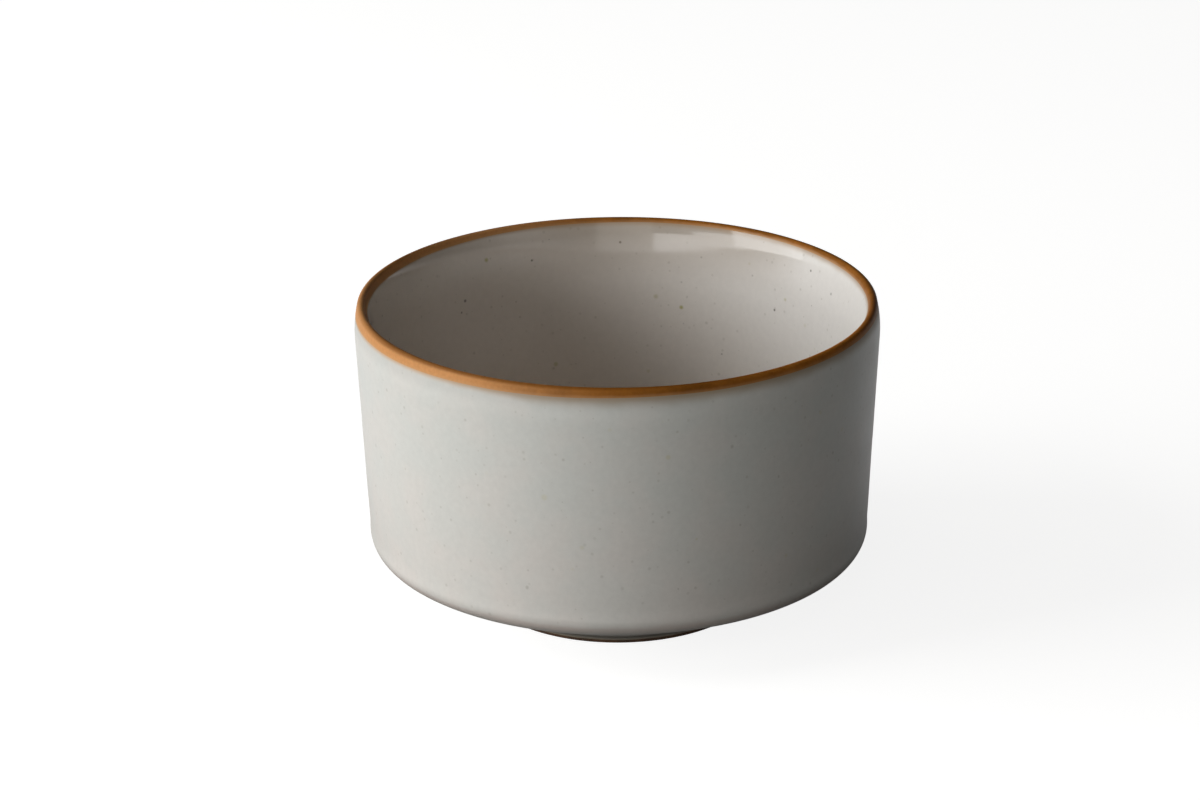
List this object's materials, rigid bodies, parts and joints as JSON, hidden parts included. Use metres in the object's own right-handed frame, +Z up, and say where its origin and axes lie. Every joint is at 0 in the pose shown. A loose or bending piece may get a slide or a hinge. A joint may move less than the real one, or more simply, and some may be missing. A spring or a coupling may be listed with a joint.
{
  "type": "latte bowl",
  "caption": "Handle-less stoneware latte bowl with a straight, slightly flared wall, tight heel, cone-shaped underside, low foot ring, speckled off-white glaze and a brown-banded lip.",
  "frame": {"origin": "middle of the foot ring's resting face, on the table", "axes": "+Z up along the axis of the bowl; the bowl is round, so +X and +Y are any two directions across it"},
  "size_m": [0.11, 0.11, 0.0662],
  "materials": {
    "clay": "bare fired stoneware, dark toasted brown, matt and slightly gritty",
    "outside_glaze": "satin off-white glaze with a faint cool cast and fine iron specks, thin and brownish at the lip band and on the foot",
    "inside_glaze": "glossy warm off-white glaze with iron specks",
    "rim_oxide": "ochre-brown oxide band, satin, fading where the glaze laps it"
  },
  "bodies": {
    "root": {"clay_body": "clay", "foot_ring": "clay", "outer_glaze": "outside_glaze", "inner_glaze": "inside_glaze", "rim_band": "rim_oxide", "foot_well_glaze": "outside_glaze"}
  },
  "joints": []
}
